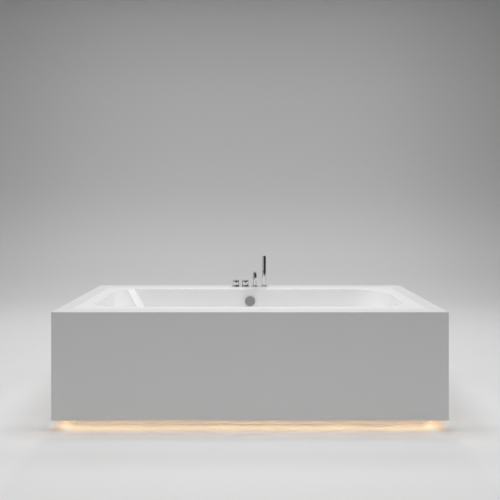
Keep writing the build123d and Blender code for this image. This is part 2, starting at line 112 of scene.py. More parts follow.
def new_group(name, inputs, outputs):
    """A node group with float inputs at their defaults, and float outputs."""
    group = bpy.data.node_groups.new(name, "ShaderNodeTree")
    for label, default in inputs.items():
        socket = group.interface.new_socket(label, in_out="INPUT", socket_type="NodeSocketFloat")
        socket.default_value = default
    for label in outputs:
        group.interface.new_socket(label, in_out="OUTPUT", socket_type="NodeSocketFloat")
    return group, group.nodes.new("NodeGroupInput"), group.nodes.new("NodeGroupOutput")


def use(tree, group, **values):
    """A node group in a tree, with its inputs set."""
    node = tree.nodes.new("ShaderNodeGroup")
    node.node_tree = group
    for key, value in values.items():
        node.inputs[key].default_value = value
    return node


def object_place(tree):
    return add(tree, "ShaderNodeTexCoord", "object coordinates").outputs["Object"]


def split_place(tree):
    split = add(tree, "ShaderNodeSeparateXYZ", "X, Y and Z")
    tree.links.new(object_place(tree), split.inputs[0])
    return split.outputs


def facing_up(tree):
    """1 where the surface faces up, -1 where it faces down."""
    direction = add(tree, "ShaderNodeTexCoord", "surface direction")
    split = add(tree, "ShaderNodeSeparateXYZ", "which way it faces")
    tree.links.new(direction.outputs["Normal"], split.inputs[0])
    return split.outputs["Z"]


def noise_over(tree, label, place=None, **settings):
    """Noise over the object's coordinates, or over another place."""
    noise = add(tree, "ShaderNodeTexNoise", label, **settings)
    tree.links.new(object_place(tree) if place is None else place, noise.inputs["Vector"])
    return noise


def bumped(tree, label, height, depth, normal=None):
    """The direction of a surface that is raised by a height, times a depth in metres."""
    node = add(tree, "ShaderNodeBump", label, Strength=1.0, Distance=depth)
    tree.links.new(height, node.inputs["Height"])
    if normal is not None:
        tree.links.new(normal, node.inputs["Normal"])
    return node.outputs["Normal"]


def grey(value):
    return (value, value, value)


def tones(tree, factor, dark, light, label):
    """A colour between two tones. Each is a colour, or an output that is linked in."""
    mix = add(tree, "ShaderNodeMix", label, data_type="RGBA")
    for socket, colour in (("A", dark), ("B", light)):
        if isinstance(colour, tuple):
            mix.inputs[socket].default_value = (*colour, 1)
        else:
            tree.links.new(colour, mix.inputs[socket])
    tree.links.new(factor, mix.inputs["Factor"])
    return mix.outputs["Result"]


def multiplied(tree, first, second, label):
    mix = add(tree, "ShaderNodeMix", label, data_type="RGBA", blend_type="MULTIPLY")
    mix.inputs["Factor"].default_value = 1.0
    tree.links.new(first, mix.inputs["A"])
    tree.links.new(second, mix.inputs["B"])
    return mix.outputs["Result"]


def fade(tree, value, start, end, label):
    """0 at start, 1 at end, and smooth between them. It falls where end lies below start."""
    step = add(
        tree, "ShaderNodeMapRange", label,
        interpolation_type="SMOOTHSTEP", From_Min=start, From_Max=end,
    )
    tree.links.new(value, step.inputs["Value"])
    return step.outputs["Result"]


# Shared effects

def make_cloudy():
    """Slow variation over a surface, from 0 to 1, as in lacquer or moulded sheet."""
    group, start, end = new_group("cloudy", {"Scale": 3.0, "Contrast": 1.0}, ["Mask"])
    noise = noise_over(group, "slow clouds", Detail=3.0, Roughness=0.55)
    group.links.new(start.outputs["Scale"], noise.inputs["Scale"])
    centred = maths(group, "SUBTRACT", "centre on zero", noise.outputs["Fac"], 0.5)
    contrast = start.outputs["Contrast"]
    spread = maths(group, "MULTIPLY_ADD", "contrast about the middle", centred, contrast, 0.5)
    clamp = add(group, "ShaderNodeClamp", "keep from 0 to 1")
    group.links.new(spread, clamp.inputs["Value"])
    group.links.new(clamp.outputs[0], end.inputs["Mask"])
    return group


def make_fine_texture():
    """The height of a fine moulded or sprayed texture, for a bump."""
    group, start, end = new_group("fine texture", {"Scale": 400.0, "Waviness": 0.3}, ["Height"])
    fine = noise_over(group, "fine grain", Detail=4.0, Roughness=0.6)
    wave = noise_over(group, "orange peel", Detail=2.0, Roughness=0.4)
    group.links.new(start.outputs["Scale"], fine.inputs["Scale"])
    tenth = maths(group, "MULTIPLY", "a tenth of the scale", start.outputs["Scale"], 0.1)
    group.links.new(tenth, wave.inputs["Scale"])
    waviness = start.outputs["Waviness"]
    peel, grain = wave.outputs["Fac"], fine.outputs["Fac"]
    height = maths(group, "MULTIPLY_ADD", "waviness added", peel, waviness, grain)
    group.links.new(height, end.inputs["Height"])
    return group


def make_wiped():
    """Faint smears left by wiping, from 0 to 1, long in one direction."""
    group, start, end = new_group("wiped", {"Scale": 14.0, "Stretch": 6.0}, ["Mask"])
    x, y, z = split_place(group)
    squeezed = maths(group, "DIVIDE", "stretched along X", x, start.outputs["Stretch"])
    join = add(group, "ShaderNodeCombineXYZ", "put together")
    for socket, value in zip(join.inputs, (squeezed, y, z)):
        group.links.new(value, socket)
    noise = noise_over(group, "smears", join.outputs[0], Detail=5.0, Roughness=0.6, Distortion=1.2)
    group.links.new(start.outputs["Scale"], noise.inputs["Scale"])
    group.links.new(noise.outputs["Fac"], end.inputs["Mask"])
    return group


def make_thread():
    """The height of a screw thread about an upright shank, for a bump. Above Top it is flat."""
    group, start, end = new_group("thread", {"Pitch": 0.0015, "Top": 0.59}, ["Height"])
    z = split_place(group)["Z"]
    turns = maths(group, "DIVIDE", "turns", z, start.outputs["Pitch"])
    ramp = maths(group, "PINGPONG", "flanks", turns, 0.5)
    below = maths(group, "LESS_THAN", "only on the shank", z, start.outputs["Top"])
    group.links.new(maths(group, "MULTIPLY", "height", ramp, below), end.inputs["Height"])
    return group


cloudy = make_cloudy()
fine_texture = make_fine_texture()
wiped = make_wiped()
thread = make_thread()

thread_depth = 0.0008


def finish_of(
    name, dark, light, rough, depth, grain_scale, cloud_scale=3.0, metal=0.0, thread_top=None
):
    """A finish whose colour drifts between two tones, with wiped roughness and a fine bump.

    rough is a pair of roughness values, and depth is the bump's depth in metres. Where thread_top
    is given, the piece is threaded below that height."""
    material, tree, shader = new_surface(name, name, Metallic=metal)
    clouds = use(tree, cloudy, Scale=cloud_scale)
    tone = tones(tree, clouds.outputs["Mask"], dark, light, "tone")
    tree.links.new(tone, shader.inputs["Base Color"])

    smears = use(tree, wiped)
    roughness = add(
        tree, "ShaderNodeMapRange", "roughness between two values",
        To_Min=rough[0], To_Max=rough[1],
    )
    tree.links.new(smears.outputs["Mask"], roughness.inputs["Value"])
    tree.links.new(roughness.outputs["Result"], shader.inputs["Roughness"])

    texture = use(tree, fine_texture, Scale=grain_scale)
    normal = bumped(tree, "fine bump", texture.outputs["Height"], depth)
    if thread_top is not None:
        turns = use(tree, thread, Top=thread_top)
        normal = bumped(tree, "thread", turns.outputs["Height"], thread_depth, normal)
    tree.links.new(normal, shader.inputs["Normal"])
    return material


# The tub's acrylic: one white with painted light and shade in zones, where the zones end, and the
# resin underneath

rim_white = 0.742
lip_painted_light = 0.828
basin_wall_painted_light = 0.905
end_wall_painted_light = 0.99
basin_floor_painted_shade = 0.785
white_drift = 0.014
lip_half_length = 0.919
lip_half_width = 0.402
lip_edge_height = 0.5972
end_wall_light_zone = (0.64, 0.84)
floor_shade_zone = (0.17, 0.32)
acrylic_ior = 1.25
acrylic_roughness = 0.16
smear_roughness = 0.1
ripple_depth = 0.00001
faces_down = -0.02
resin_dark = (0.5, 0.47, 0.38)
resin_light = (0.72, 0.69, 0.6)
resin_roughness = 0.4
strand_depth = 0.001


def zone_painted_light_and_shade(tree):
    """The white of the rim, with painted light that makes the lip and the basin's side walls lighter
    and its end walls lighter still, and painted shade that darkens its floor below the walls.
    """
    x, y, z = split_place(tree)
    from_middle = maths(tree, "ABSOLUTE", "from the middle, along", x)
    from_axis = maths(tree, "ABSOLUTE", "from the middle, across", y)
    within_length = maths(tree, "LESS_THAN", "inside, along", from_middle, lip_half_length)
    within_width = maths(tree, "LESS_THAN", "inside, across", from_axis, lip_half_width)
    inside = maths(tree, "MULTIPLY", "inside the rim", within_length, within_width)
    below = maths(tree, "LESS_THAN", "below the lip", z, lip_edge_height)
    # Painted light whitens the walls towards the ends, and painted shade darkens the basin floor.
    to_ends = fade(tree, from_middle, *end_wall_light_zone, "towards the end walls")
    off_floor = fade(tree, z, *floor_shade_zone, "up from the floor")
    walls = tones(tree, to_ends, grey(basin_wall_painted_light), grey(end_wall_painted_light), "side or end walls")
    basin = tones(tree, off_floor, grey(basin_floor_painted_shade), walls, "floor or walls")
    opening = tones(tree, below, grey(lip_painted_light), basin, "lip or basin")
    return tones(tree, inside, grey(rim_white), opening, "rim or inside it")


def tub_acrylic():
    """Satin white above, with painted light and shade in zones, and resin with glass strands
    underneath.
    """
    material, tree, shader = new_surface("tub acrylic", "acrylic over resin", IOR=acrylic_ior)
    clouds = use(tree, cloudy, Scale=2.5).outputs["Mask"]
    drift = maths(tree, "MULTIPLY_ADD", "slight drift", clouds, white_drift, 1 - white_drift)
    acrylic = tones(tree, drift, grey(0.0), zone_painted_light_and_shade(tree), "acrylic")

    under = maths(tree, "LESS_THAN", "faces down", facing_up(tree), faces_down)
    strands = noise_over(
        tree, "glass strands", Scale=60.0, Detail=6.0, Roughness=0.7, Distortion=4.0
    ).outputs["Fac"]
    resin = tones(tree, strands, resin_dark, resin_light, "resin")
    colour = tones(tree, under, acrylic, resin, "upper or under side")
    tree.links.new(colour, shader.inputs["Base Color"])

    smears = use(tree, wiped, Scale=7.0).outputs["Mask"]
    polished = maths(tree, "MULTIPLY_ADD", "polished", smears, smear_roughness, acrylic_roughness)
    roughness = maths(tree, "MULTIPLY_ADD", "resin is rougher", under, resin_roughness, polished)
    tree.links.new(roughness, shader.inputs["Roughness"])

    texture = use(tree, fine_texture, Scale=150.0)
    ripple = bumped(tree, "moulded ripple", texture.outputs["Height"], ripple_depth)
    proud = maths(tree, "MULTIPLY", "under side only", strands, under)
    normal = bumped(tree, "strands stand proud", proud, strand_depth, ripple)
    tree.links.new(normal, shader.inputs["Normal"])
    return material


# Birch plywood

ply_thickness = 0.0013
grain_dark = (0.5, 0.36, 0.21)
grain_light = (0.74, 0.58, 0.38)
ply_light = (0.62, 0.47, 0.29)
ply_dark = (0.42, 0.28, 0.16)
grain_depth = 0.0002


def plywood_finish():
    """Long grain on the faces, and thin plies on the edges."""
    material, tree, shader = new_surface("plywood", "birch plywood")
    stretch = add(tree, "ShaderNodeMapping", "grain runs along X", Scale=(2.0, 30.0, 30.0))
    tree.links.new(object_place(tree), stretch.inputs["Vector"])
    grain = noise_over(
        tree, "grain", stretch.outputs["Vector"],
        Scale=2.0, Detail=6.0, Roughness=0.65, Distortion=0.6,
    ).outputs["Fac"]
    face = tones(tree, grain, grain_dark, grain_light, "grain tone")

    height = split_place(tree)["Z"]
    count = maths(tree, "DIVIDE", "ply thickness", height, ply_thickness)
    layer = maths(tree, "PINGPONG", "plies", count, 1.0)
    other = maths(tree, "GREATER_THAN", "every other ply", layer, 0.5)
    plies = tones(tree, other, ply_light, ply_dark, "plies")

    level = maths(tree, "ABSOLUTE", "up or down", facing_up(tree))
    flat = maths(tree, "GREATER_THAN", "a face, not an edge", level, 0.5)
    tree.links.new(tones(tree, flat, plies, face, "face or edge"), shader.inputs["Base Color"])
    roughness = maths(tree, "MULTIPLY_ADD", "roughness", grain, 0.25, 0.45)
    tree.links.new(roughness, shader.inputs["Roughness"])
    tree.links.new(bumped(tree, "open grain", grain, grain_depth), shader.inputs["Normal"])
    return material


# The light under the panels

lamp_pitch = 0.0166
lamp_edge = 0.36
lamp_colour = (0.85, 0.66, 0.25)
lamp_glow = (1.0, 0.67, 0.38)
strip_white = 0.72
glow_strength = 11.65
glow_low = (1.0, 0.61, 0.32)
glow_high = (1.0, 0.65, 0.36)


def lit_diffuser():
    """Frosted strip, lit from behind in warm white."""
    material, tree, shader = new_surface(
        "lit diffuser", "frosted strip", Roughness=0.5, Emission_Strength=glow_strength
    )
    clouds = use(tree, cloudy, Scale=40.0, Contrast=0.6)
    glow = tones(tree, clouds.outputs["Mask"], glow_low, glow_high, "glow")
    tree.links.new(glow, shader.inputs["Emission Color"])
    tree.links.new(glow, shader.inputs["Base Color"])
    return material


def lamp_strip():
    """A white strip with a small warm lamp at each pitch."""
    material, tree, shader = new_surface(
        "lamp strip", "strip with lamps", Roughness=0.4, Emission_Strength=1.0
    )
    place = split_place(tree)
    dots = []
    for axis in ("X", "Y"):
        step = maths(tree, "DIVIDE", "pitches", place[axis], lamp_pitch)
        near = maths(tree, "PINGPONG", "distance to the next lamp", step, 0.5)
        dots.append(maths(tree, "GREATER_THAN", "lamp", near, lamp_edge))
    lamp = maths(tree, "MAXIMUM", "a lamp on either run", *dots)
    colour = tones(tree, lamp, grey(strip_white), lamp_colour, "strip or lamp")
    shine = tones(tree, lamp, grey(0.0), lamp_glow, "lamps shine")
    tree.links.new(colour, shader.inputs["Base Color"])
    tree.links.new(shine, shader.inputs["Emission Color"])
    return material


# The finishes, and the slot that each belongs to

lacquer = finish_of(
    "white lacquer", grey(0.735), grey(0.753), rough=(0.34, 0.44), depth=0.00002, grain_scale=900.0
)
chrome = finish_of(
    "chrome", grey(0.84), grey(0.89), rough=(0.03, 0.09), depth=0.000001, grain_scale=300.0,
    metal=1.0, thread_top=deck_thread_top,
)
satin_grey = finish_of(
    "satin grey metal", grey(0.288), grey(0.317), rough=(0.5, 0.6), depth=0.00001,
    grain_scale=2500.0, cloud_scale=20.0,
)
grey_rubber = finish_of(
    "grey rubber", grey(0.2), grey(0.26), rough=(0.6, 0.75), depth=0.00003,
    grain_scale=1500.0, cloud_scale=60.0,
)
drain_plastic = finish_of(
    "drain plastic", grey(0.42), grey(0.47), rough=(0.4, 0.55), depth=0.00003,
    grain_scale=1200.0, cloud_scale=12.0,
)
black_plastic = finish_of(
    "black plastic", grey(0.03), grey(0.045), rough=(0.45, 0.6), depth=0.00004,
    grain_scale=1600.0, cloud_scale=25.0,
)
powder_coat = finish_of(
    "powder coat", grey(0.06), grey(0.08), rough=(0.4, 0.55), depth=0.00004,
    grain_scale=1400.0, cloud_scale=9.0,
)
anodised = finish_of(
    "anodised aluminium", grey(0.6), grey(0.66), rough=(0.3, 0.4), depth=0.00001,
    grain_scale=1800.0, cloud_scale=15.0, metal=1.0,
)
black_rubber = finish_of(
    "black rubber", grey(0.02), grey(0.032), rough=(0.65, 0.8), depth=0.00004,
    grain_scale=1500.0, cloud_scale=40.0,
)
dark_screen = finish_of(
    "dark screen", grey(0.015), grey(0.03), rough=(0.5, 0.7), depth=0.00004,
    grain_scale=3000.0, cloud_scale=90.0,
)
zinc_look = {
    "dark": (0.5, 0.5, 0.47), "light": (0.64, 0.64, 0.6), "rough": (0.28, 0.42),
    "depth": 0.00002, "grain_scale": 900.0, "cloud_scale": 70.0, "metal": 1.0,
}
zinc = finish_of("zinc plate", **zinc_look)
threaded_zinc = finish_of("threaded zinc", **zinc_look, thread_top=leg_thread_top)

finishes = {
    "white_acrylic": tub_acrylic(),
    "white_panel": lacquer,
    "white_plinth": lacquer,
    "plywood": plywood_finish(),
    "aluminium": anodised,
    "warm_diffuser": lit_diffuser(),
    "lamp_strip": lamp_strip(),
    "black_plastic": black_plastic,
    "painted_steel": powder_coat,
    "zinc_steel": zinc,
    "black_rubber": black_rubber,
    "chrome": chrome,
    "grey_metal": satin_grey,
    "grey_rubber": grey_rubber,
    "grey_plastic": drain_plastic,
}
slots = {}
for subpart in frame["record"]["subparts"]:
    slots[subpart["node"]] = subpart["material_slot"]
    for socket in nodes[subpart["node"]].material_slots:
        socket.material = finishes[subpart["material_slot"]]


# Modelling helpers

round_sides = 48
merge_distance = 0.000002
smooth_angle = math.radians(32)
bevel_angle = math.radians(40)


def start_edit():
    bpy.ops.object.mode_set(mode="EDIT")
    bpy.ops.mesh.select_all(action="SELECT")


def end_edit():
    """Merge doubles, point the faces outwards and shade the piece smooth up to an angle."""
    bpy.ops.mesh.select_all(action="SELECT")
    bpy.ops.mesh.remove_doubles(threshold=merge_distance)
    bpy.ops.mesh.normals_make_consistent(inside=False)
    bpy.ops.object.mode_set(mode="OBJECT")
    bpy.ops.object.shade_smooth_by_angle(angle=smooth_angle)


def pick(piece):
    bpy.ops.object.select_all(action="DESELECT")
    piece.select_set(True)
    bpy.context.view_layer.objects.active = piece


def settle():
    """Put the place, turn and size of the picked piece into its mesh."""
    bpy.ops.object.transform_apply(location=True, rotation=True, scale=True)


def disc(name, place, radius, sides):
    bpy.ops.object.select_all(action="DESELECT")
    bpy.ops.mesh.primitive_circle_add(
        vertices=sides, radius=radius, fill_type="NGON", location=place
    )
    piece = bpy.context.active_object
    piece.name = name
    settle()
    return piece


def box(name, place, size):
    bpy.ops.object.select_all(action="DESELECT")
    bpy.ops.mesh.primitive_cube_add(size=1, location=place, scale=size)
    piece = bpy.context.active_object
    piece.name = name
    settle()
    return piece


def turned(name, rings, place=(0, 0, 0), tilt_degrees=0, sides=round_sides):
    """A round piece, turned upright from rings of (radius, height), then tilted and placed."""
    radius, height = rings[0]
    piece = disc(name, (0, 0, height), radius, sides)
    start_edit()
    for next_radius, next_height in rings[1:]:
        rise = (0, 0, next_height - height)
        bpy.ops.mesh.extrude_region_move(TRANSFORM_OT_translate={"value": rise})
        grow = next_radius / radius
        bpy.ops.transform.resize(value=(grow, grow, 1), center_override=(0, 0, next_height))
        radius, height = next_radius, next_height
    end_edit()
    piece.rotation_euler = (math.radians(tilt_degrees), 0, 0)
    piece.location = place
    settle()
    return piece


def rounded_edge(radius, top, edge, steps=5):
    """Rings that round off the upper edge of a turned piece."""
    rings = []
    for step in range(steps + 1):
        turn = math.pi / 2 * step / steps
        rings.append((radius - edge * (1 - math.cos(turn)), top - edge * (1 - math.sin(turn))))
    return rings


def join(name, *pieces):
    pick(pieces[0])
    for piece in pieces[1:]:
        piece.select_set(True)
    bpy.ops.object.join()
    pieces[0].name = name
    return pieces[0]


def copies_of(first, spots):
    """Copies of a piece, each with its own mesh, one at each spot, in its place."""
    copies = []
    for spot in spots:
        twin = first.copy()
        twin.data = first.data.copy()
        bpy.context.collection.objects.link(twin)
        twin.location = spot
        pick(twin)
        settle()
        copies.append(twin)
    bpy.data.objects.remove(first)
    return copies


def bevelled(piece, width, segments=2):
    """Ease the sharp edges of a piece, and shade it smooth again."""
    pick(piece)
    bevel = piece.modifiers.new("eased edges", "BEVEL")
    bevel.width = width
    bevel.segments = segments
    bevel.limit_method = "ANGLE"
    bevel.angle_limit = bevel_angle
    bpy.ops.object.modifier_apply(modifier=bevel.name)
    bpy.ops.object.shade_smooth_by_angle(angle=smooth_angle)
    return piece


def dress(piece, body, *cad_nodes, material=None):
    """Give a finished piece its finish and its body, and hide the CAD nodes that it stands for."""
    slot = slots[cad_nodes[0]]
    piece.data.materials.clear()
    piece.data.materials.append(material or finishes[slot])
    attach(piece, body)
    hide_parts(*cad_nodes)


# Boards with eased edges, from the shapes of the CAD nodes

panel_edge = 0.0005
board_edge = 0.0006
board_merge_distance = 0.00001
flat_angle = math.radians(1)


def eased_board(node_name, width):
    piece = nodes[node_name].copy()
    piece.data = piece.data.copy()
    piece.parent = None
    piece.name = f"{node_name}_eased"
    bpy.context.collection.objects.link(piece)
    pick(piece)
    start_edit()
    bpy.ops.mesh.customdata_custom_splitnormals_clear()
    bpy.ops.mesh.remove_doubles(threshold=board_merge_distance)
    bpy.ops.mesh.dissolve_limited(angle_limit=flat_angle)
    end_edit()
    bevelled(piece, width)
    dress(piece, "tub", node_name)


for side in ("front", "rear", "left", "right"):
    eased_board(f"{side}_panel", panel_edge)
    eased_board(f"{side}_plinth_board", board_edge)
eased_board("light_supply", board_edge)
eased_board("light_supply_lid", board_edge)


# The hot and cold taps: a valve with a flared foot, a knob and a pin lever

knob_radius = 0.022
knob_top = 0.041
knob_edge = 0.0018
lever_radius = 0.0038
lever_level = 0.025
lever_reach = 0.043
lever_edge = 0.0014

# The threaded shank of everything that stands on the rim, up to the rim
deck_shank = [(0.0126, -0.06), (0.01322, -0.0594), (0.01322, 0.0)]


def valve(name, x):
    tail = [(0.0097, -0.088), (0.01048, -0.0872), (0.01048, -0.06)]
    foot = [(0.0266, 0.0), (0.027, 0.0004), (0.027, 0.0014), (0.0264, 0.0022)]
    flare = [
        (0.0253, 0.0034), (0.0243, 0.0049), (0.0234, 0.0066),
        (0.0227, 0.0084), (0.0222, 0.0103), (0.022, 0.012),
    ]
    return turned(name, tail + deck_shank + foot + flare, (x, tap_line, rim))


def knob(name, x):
    shadow_line = [(0.0206, 0.0123), (0.0206, 0.0128), (0.0216, 0.0128), (0.022, 0.0133)]
    dished_top = [(0.012, 0.0409), (0.003, 0.0408)]
    rings = shadow_line + rounded_edge(knob_radius, knob_top, knob_edge) + dished_top
    return turned(name, rings, (x, tap_line, rim))


def lever(name, x):
    collar = [(0.0038, 0.017), (0.0038, 0.0226)]
    groove = [(0.0035, 0.0228), (0.0035, 0.0236), (0.0038, 0.0238)]
    end = rounded_edge(lever_radius, lever_reach, lever_edge) + [(0.0008, lever_reach)]
    place = (x, tap_line, rim + lever_level)
    return turned(name, collar + groove + end, place, tilt_degrees=90, sides=24)


for name, x in (("hot", hot_x), ("cold", cold_x)):
    dress(valve(f"{name}_valve_flared", x), "tub", f"{name}_valve")
    dress(knob(f"{name}_knob_turned", x), f"{name}_handle", f"{name}_knob")
    dress(lever(f"{name}_lever_pin", x), f"{name}_handle", f"{name}_lever")


# The spout: a tube bent in one arc, with a bored mouth, on a plate that carries the diverter

spout_radius = 0.0125
spout_bend = 0.0805
spout_arc_degrees = 132
spout_arc = math.radians(spout_arc_degrees)
spout_steps = 56
same_way = 0.99
mouth_wall = 0.0016
mouth_depth = 0.0095
fine_edge = 0.0004
plate_radius = 0.024
plate_height = 0.006
plate_edge = 0.0014
plate_top = rim + plate_height
boss_radius = 0.005
boss_top = 0.014
boss_edge = 0.0006
diverter_place = (spout_x, tap_line + 0.0183, rim)
diverter_radius = 0.005
diverter_top = 0.046
diverter_edge = 0.0014


def bent_spout():
    """A disc spun into a tube. The face at the arc's end is then inset and pushed in as the mouth."""
    piece = disc("spout_tube", (spout_x, tap_line, plate_top), spout_radius, round_sides)
    start_edit()
    centre = (spout_x, tap_line - spout_bend, plate_top)
    bpy.ops.mesh.spin(steps=spout_steps, angle=-spout_arc, center=centre, axis=(1, 0, 0))
    bpy.ops.mesh.select_all(action="SELECT")
    bpy.ops.mesh.normals_make_consistent(inside=False)
    bpy.ops.object.mode_set(mode="OBJECT")
    down = Vector((0, -math.sin(spout_arc), math.cos(spout_arc)))
    for face in piece.data.polygons:
        round_cap = len(face.vertices) > 4
        face.select = round_cap and face.normal.dot(down) > same_way
    bpy.ops.object.mode_set(mode="EDIT")
    bpy.ops.mesh.select_mode(type="FACE")
    bpy.ops.mesh.inset(thickness=mouth_wall)
    inwards = tuple(-mouth_depth * down)
    bpy.ops.mesh.extrude_region_move(TRANSFORM_OT_translate={"value": inwards})
    end_edit()
    return bevelled(piece, fine_edge, segments=3)


def aerator():
    """The insert in the spout's mouth, with a recessed screen of two rings."""
    mouth = (
        spout_x,
        tap_line - spout_bend + spout_bend * math.cos(spout_arc),
        plate_top + spout_bend * math.sin(spout_arc),
    )
    body = [(0.0104, -0.009), (0.0107, -0.0087), (0.0107, -0.0008), (0.0102, -0.0003)]
    recess = [(0.009, -0.0003), (0.0085, -0.0008), (0.0085, -0.0018)]
    screen = [
        (0.006, -0.0018), (0.006, -0.0014), (0.0045, -0.0014), (0.0045, -0.0018),
        (0.003, -0.0018), (0.003, -0.0014), (0.0015, -0.0014), (0.0006, -0.0014),
    ]
    return turned("aerator_insert", body + recess + screen, mouth, spout_arc_degrees, sides=40)


def plate():
    foot = [(0.0237, 0.0), (plate_radius, 0.0003)]
    top = rounded_edge(plate_radius, plate_height, plate_edge) + [(0.0132, plate_height)]
    ring = turned("plate_disc", deck_shank + foot + top, (spout_x, tap_line, rim))
    flare = [(0.006, 0.0055), (0.0055, 0.0064), (0.005, 0.0076)]
    boss_end = rounded_edge(boss_radius, boss_top, boss_edge) + [(0.0026, boss_top)]
    boss = turned("boss", flare + boss_end, diverter_place, sides=32)
    return join("spout_plate_with_boss", ring, boss)


def diverter():
    rod = [(0.0022, 0.002), (0.0025, 0.0023), (0.0025, 0.034)]
    knob_foot = [(0.0046, 0.034), (0.005, 0.0344)]
    grooves = []
    for height in (0.0362, 0.0384):
        grooves += [
            (0.005, height), (0.0047, height + 0.0003),
            (0.0047, height + 0.0008), (0.005, height + 0.0011),
        ]
    top = rounded_edge(diverter_radius, diverter_top, diverter_edge) + [(0.0008, diverter_top)]
    rings = rod + knob_foot + grooves + top
    return turned("diverter_pull_knob", rings, diverter_place, sides=32)


dress(bent_spout(), "tub", "spout")
dress(aerator(), "tub", "spout_outlet", material=dark_screen)
dress(plate(), "tub", "spout_plate")
dress(diverter(), "diverter", "diverter_knob")


# The hand shower, its spray plate on the side away from the user, and its socket

wand_radius = 0.0125
wand_top = 0.202
wand_edge = 0.0016
spray_middle = rim + 0.157
spray_width, spray_thickness, spray_length = 0.01, 0.0018, 0.062
spray_offset = 0.0104
pocket_gap = 0.0002
pocket_offset, pocket_depth = 0.0145, 0.01
nozzle_columns = (-0.0022, 0.0022)
nozzle_rows = range(-4, 5)
nozzle_pitch = 0.006
socket_radius = 0.023
socket_height = 0.007
socket_edge = 0.0014


def hand_shower():
    tail = [(0.0092, -0.0227), (0.00995, -0.022), (0.00995, 0.0073)]
    shoulder = [(0.0121, 0.0073), (0.0125, 0.0077)]
    groove = [(0.0125, 0.0235), (0.0121, 0.0237), (0.0121, 0.0245), (0.0125, 0.0247)]
    top = rounded_edge(wand_radius, wand_top, wand_edge) + [(0.001, wand_top)]
    rings = tail + shoulder + groove + top
    piece = turned("hand_shower_wand", rings, (handset_x, tap_line, rim))
    cutter = box(
        "pocket cutter",
        (handset_x, tap_line + pocket_offset, spray_middle),
        (spray_width + 2 * pocket_gap, pocket_depth, spray_length + 2 * pocket_gap),
    )
    pick(piece)
    pocket = piece.modifiers.new("spray pocket", "BOOLEAN")
    pocket.operation = "DIFFERENCE"
    pocket.object = cutter
    bpy.ops.object.modifier_apply(modifier=pocket.name)
    bpy.data.objects.remove(cutter)
    bpy.ops.object.shade_smooth_by_angle(angle=smooth_angle)
    return piece


def spray_plate():
    """A rubber plate with two rows of nozzles."""
    place = (handset_x, tap_line + spray_offset, spray_middle)
    rubber = box("spray rubber", place, (spray_width, spray_thickness, spray_length))
    bevelled(rubber, fine_edge, segments=3)
    cone = [(0.0013, 0.0), (0.0011, 0.0003), (0.0009, 0.0009), (0.0007, 0.001)]
    hole = [(0.0004, 0.001), (0.0003, 0.0005)]
    first = turned("nozzle", cone + hole, tilt_degrees=-90, sides=16)
    face = tap_line + spray_offset + spray_thickness / 2
    spots = [
        (handset_x + column, face, spray_middle + nozzle_pitch * row)
        for column in nozzle_columns for row in nozzle_rows
    ]
    return join("spray_plate_with_nozzles", rubber, *copies_of(first, spots))


def hand_shower_socket():
    foot = [(0.0227, 0.0), (socket_radius, 0.0003)]
    bore = [(0.0106, socket_height), (0.0101, 0.0066), (0.0101, -0.058)]
    rings = deck_shank + foot + rounded_edge(socket_radius, socket_height, socket_edge) + bore
    return turned("shower_socket_ring", rings, (handset_x, tap_line, rim))


dress(hand_shower(), "handset", "hand_shower")
dress(spray_plate(), "handset", "spray_plate")
dress(hand_shower_socket(), "tub", "shower_socket")


# The overflow's turning knob and the lifting plug

dial_radius = 0.032
dial_top = 0.019
dial_edge = 0.0018
plug_radius = 0.033
plug_height = 0.0062
plug_edge = 0.0024
plug_seat = 0.0033


def overflow_knob():
    stem = [(0.0056, -0.01), (0.006, -0.0096), (0.006, 0.009)]
    back = [(0.0308, 0.009), (0.0316, 0.0093), (0.032, 0.0101)]
    face = rounded_edge(dial_radius, dial_top, dial_edge) + [(0.02, dial_top), (0.002, dial_top)]
    rings = stem + back + face
    return turned("overflow_turning_knob", rings, overflow_place, overflow_tilt_degrees, sides=64)


def lifting_plug():
    stem = [(0.0036, -0.046), (0.004, -0.0456), (0.004, 0.0)]
    foot = [(0.0322, 0.0), (0.033, 0.0009)]
    edge = rounded_edge(plug_radius, plug_height, plug_edge)[:-1]
    dome = [(0.03, 0.0063), (0.023, 0.0067), (0.012, 0.007), (0.002, 0.007)]
    place = (0, 0, basin_floor + plug_seat)
    return turned("lifting_plug_domed", stem + foot + edge + dome, place, sides=64)


dress(overflow_knob(), "overflow_dial", "overflow_knob")
dress(lifting_plug(), "plug", "waste_plug")


# The levelling feet, modelled once and copied

foot_x = 0.58
foot_y = 0.23
foot_spots = [(x, y, 0) for x in (-foot_x, foot_x) for y in (-foot_y, foot_y)]


def levelling_pad():
    sole = [(0.0238, 0.0), (0.025, 0.001), (0.0249, 0.004)]
    groove = [(0.0243, 0.0046), (0.0243, 0.0058), (0.0238, 0.0062)]
    cup = [(0.0219, 0.0142), (0.0211, 0.016), (0.0062, 0.016)]
    return turned("pad", sole + groove + cup, sides=40)


def levelling_stud():
    return turned("stud", [(0.006, 0.016), (0.006, 0.0805)], sides=24)


pads = join("levelling_pads", *copies_of(levelling_pad(), foot_spots))
dress(pads, "tub", "leg_pads")
studs = join("levelling_studs", *copies_of(levelling_stud(), foot_spots))
dress(studs, "tub", "leg_studs", material=threaded_zinc)


# Screws that hold the brackets to the soffit, modelled once and copied

soffit_top = 0.08
panel_inner_x = 0.982
panel_inner_y = 0.482
screw_inset = 0.018
screw_shift = 0.012
bracket_places = (-0.75, 0.0, 0.75)


